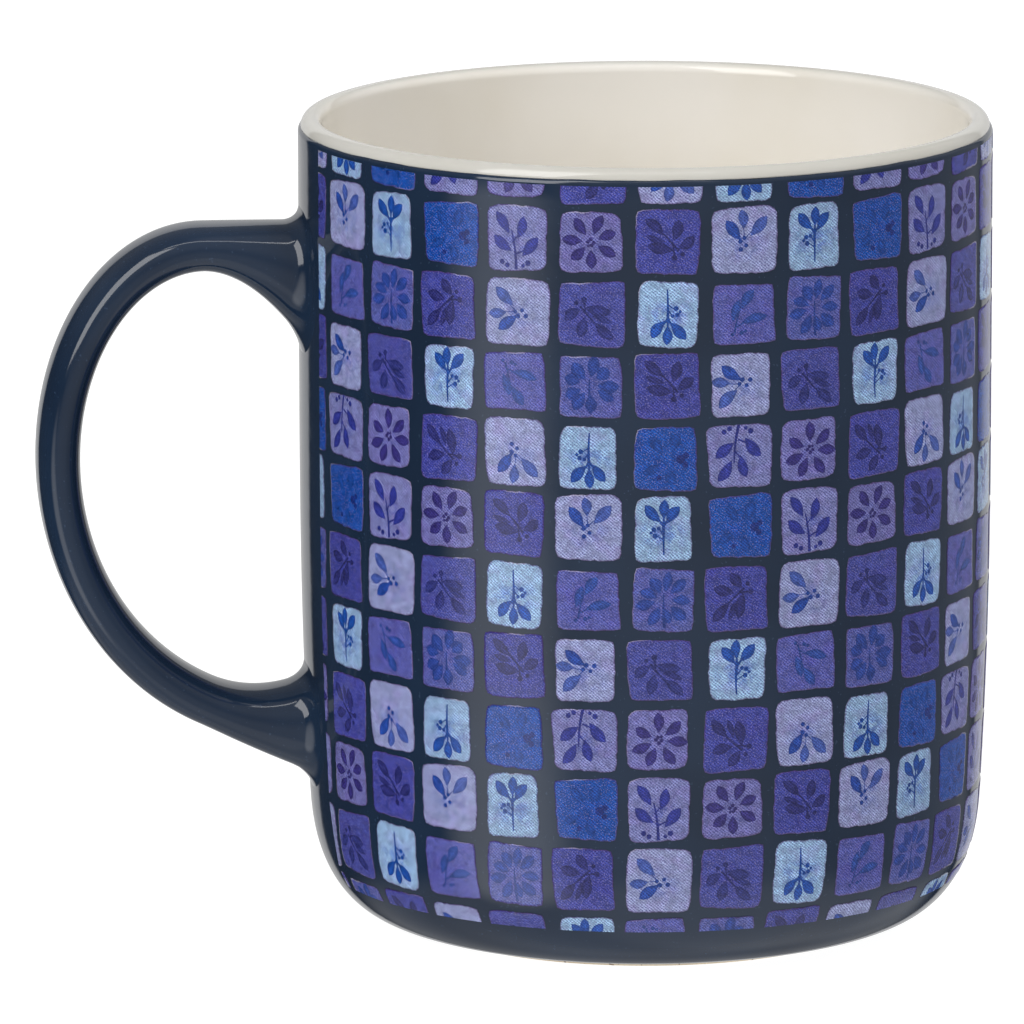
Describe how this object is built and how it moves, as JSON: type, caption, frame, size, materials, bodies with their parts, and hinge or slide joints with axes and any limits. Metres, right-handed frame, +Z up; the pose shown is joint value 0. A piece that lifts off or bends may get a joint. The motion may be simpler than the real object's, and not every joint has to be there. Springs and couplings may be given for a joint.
{
  "type": "stoneware mug",
  "caption": "Straight-sided glazed stoneware mug with a rounded heel, a strap handle and a printed mosaic-tile wrap.",
  "frame": {"origin": "middle of the mug's outline on the table, halfway along its length; the cup's own axis stands 17.05 mm from it along +X, which is half the handle's reach", "axes": "+Z up along the cup's axis, -X towards the handle, +Y to the left of someone looking along +X"},
  "size_m": [0.123, 0.089, 0.105],
  "materials": {
    "bisque_stoneware": "matt unglazed clay",
    "cream_glaze": "gloss",
    "navy_glaze": "gloss",
    "tile_transfer": "gloss print"
  },
  "bodies": {
    "root": {"cup_body": "bisque_stoneware", "handle": "bisque_stoneware", "upper_handle_collar": "navy_glaze", "lower_handle_collar": "navy_glaze", "liner_glaze": "cream_glaze", "outer_glaze": "navy_glaze", "handle_glaze": "navy_glaze", "mosaic_transfer": "tile_transfer"}
  },
  "joints": []
}
